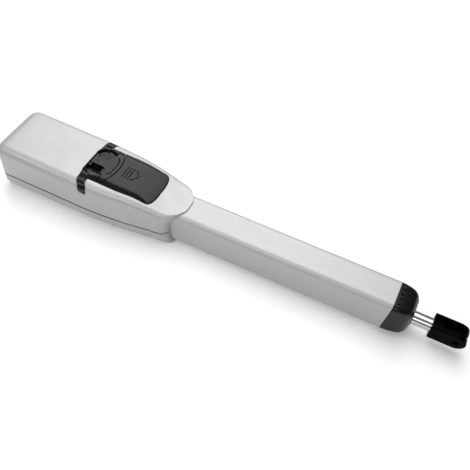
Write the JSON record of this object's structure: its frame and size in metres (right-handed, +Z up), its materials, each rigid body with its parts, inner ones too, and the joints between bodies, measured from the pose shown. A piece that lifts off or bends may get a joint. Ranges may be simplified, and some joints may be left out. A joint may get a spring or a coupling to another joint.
{
  "type": "swing gate opener arm",
  "caption": "Linear screw actuator for a swing gate: motor housing with manual release, square tube, sliding rod and fork.",
  "frame": {"origin": "centre of the bounding box in X and Y, at the underside of the housing", "axes": "+X along the arm from the motor towards the fork, +Y to the left seen from the motor, +Z up through the release lever"},
  "size_m": [0.775, 0.1088, 0.0898],
  "materials": {
    "silver_paint": "fine satin silver paint on a die casting",
    "anodised_tube": "satin anodised extrusion",
    "black_plastic": "moulded, fine texture",
    "black_rubber": "matt",
    "black_painted_metal": "satin black coating on steel",
    "chrome_rod": "hard chrome, ground and polished",
    "steel": "machined",
    "zinc": "zinc-plated or cast, dull",
    "bronze": "machined bronze",
    "copper": "laminations and varnished copper",
    "green_board": "solder-masked circuit board",
    "grey_plastic": "moulded"
  },
  "bodies": {
    "operator": {"upper_cover": "silver_paint", "lower_shell": "silver_paint", "seam_gasket": "black_rubber", "cover_screw_1": "zinc", "cover_screw_2": "zinc", "cover_screw_3": "zinc", "cover_screw_4": "zinc", "rear_mount_block": "zinc", "rear_mount_bush": "steel", "cable_gland": "black_plastic", "gland_nut": "black_plastic", "motor_can": "steel", "motor_rear_bell": "zinc", "gearhead_case": "zinc", "magnet_upper": "grey_plastic", "magnet_lower": "grey_plastic", "motor_bearing_rear": "steel", "motor_bearing_front": "steel", "terminal_block": "grey_plastic", "encoder_board": "green_board", "gear_plate": "zinc", "tube_carrier": "zinc", "screw_bearing": "steel", "tube": "anodised_tube", "front_cap": "black_plastic", "rod_bush": "bronze", "rod_wiper": "black_rubber", "cap_screw_1": "zinc", "cap_screw_2": "zinc", "release_frame": "black_plastic", "lever_pin": "steel", "lock_sleeve": "black_plastic"},
    "rotor": {"motor_shaft": "steel", "rotor_core": "copper", "commutator": "copper", "encoder_disc": "grey_plastic"},
    "pinion": {"drive_pinion": "steel"},
    "gear": {"main_gear": "steel", "gear_bush": "bronze"},
    "screw": {"lead_screw": "steel"},
    "clutch": {"clutch_dog": "steel"},
    "shifter": {"shift_bar": "zinc"},
    "rod": {"rod": "chrome_rod", "rod_pin": "steel", "drive_nut": "bronze", "fork": "black_painted_metal"},
    "lever": {"release_lever": "black_plastic"},
    "key_cover": {"slide_cover": "black_plastic"},
    "key_lock": {"lock_barrel": "zinc"}
  },
  "joints": [
    {"name": "rod_slide", "type": "slide", "parent": "operator", "child": "rod", "axis": [1, 0, 0], "range_m": [0, 0.3]},
    {"name": "rotor_spin", "type": "hinge", "parent": "operator", "child": "rotor", "pos_m": [-0.2875, 0.024, 0.048], "axis": [1, 0, 0], "range_deg": [0, 153900]},
    {"name": "pinion_spin", "type": "hinge", "parent": "operator", "child": "pinion", "pos_m": [-0.2115, 0.024, 0.048], "axis": [1, 0, 0], "range_deg": [0, 32400]},
    {"name": "gear_spin", "type": "hinge", "parent": "operator", "child": "gear", "pos_m": [-0.2125, 0, 0.03], "axis": [1, 0, 0], "range_deg": [-10800, 0]},
    {"name": "screw_spin", "type": "hinge", "parent": "operator", "child": "screw", "pos_m": [-0.1, 0, 0.03], "axis": [1, 0, 0], "range_deg": [-10800, 0]},
    {"name": "lever_lift", "type": "hinge", "parent": "operator", "child": "lever", "pos_m": [-0.22846, 0, 0.08572], "axis": [0, -1, 0], "range_deg": [0, 40]},
    {"name": "shifter_slide", "type": "slide", "parent": "operator", "child": "shifter", "axis": [1, 0, 0], "range_m": [0, 0.0098]},
    {"name": "clutch_slide", "type": "slide", "parent": "screw", "child": "clutch", "axis": [1, 0, 0], "range_m": [0, 0.0098]},
    {"name": "cover_slide", "type": "slide", "parent": "operator", "child": "key_cover", "axis": [0.9996, 0, -0.0285], "range_m": [0, 0.028]},
    {"name": "key_turn", "type": "hinge", "parent": "operator", "child": "key_lock", "pos_m": [-0.17453, 0, 0.08268], "axis": [0.0285, 0, 0.9996], "range_deg": [0, 90]}
  ],
  "couplings": [
    {"joint": "rotor_spin", "follows": "rod_slide", "rad_per_m": 8953.5},
    {"joint": "pinion_spin", "follows": "rod_slide", "rad_per_m": 1885},
    {"joint": "gear_spin", "follows": "rod_slide", "rad_per_m": -628.32},
    {"joint": "screw_spin", "follows": "rod_slide", "rad_per_m": -628.32},
    {"joint": "shifter_slide", "follows": "lever_lift", "m_per_rad": 0.014},
    {"joint": "clutch_slide", "follows": "lever_lift", "m_per_rad": 0.014}
  ]
}
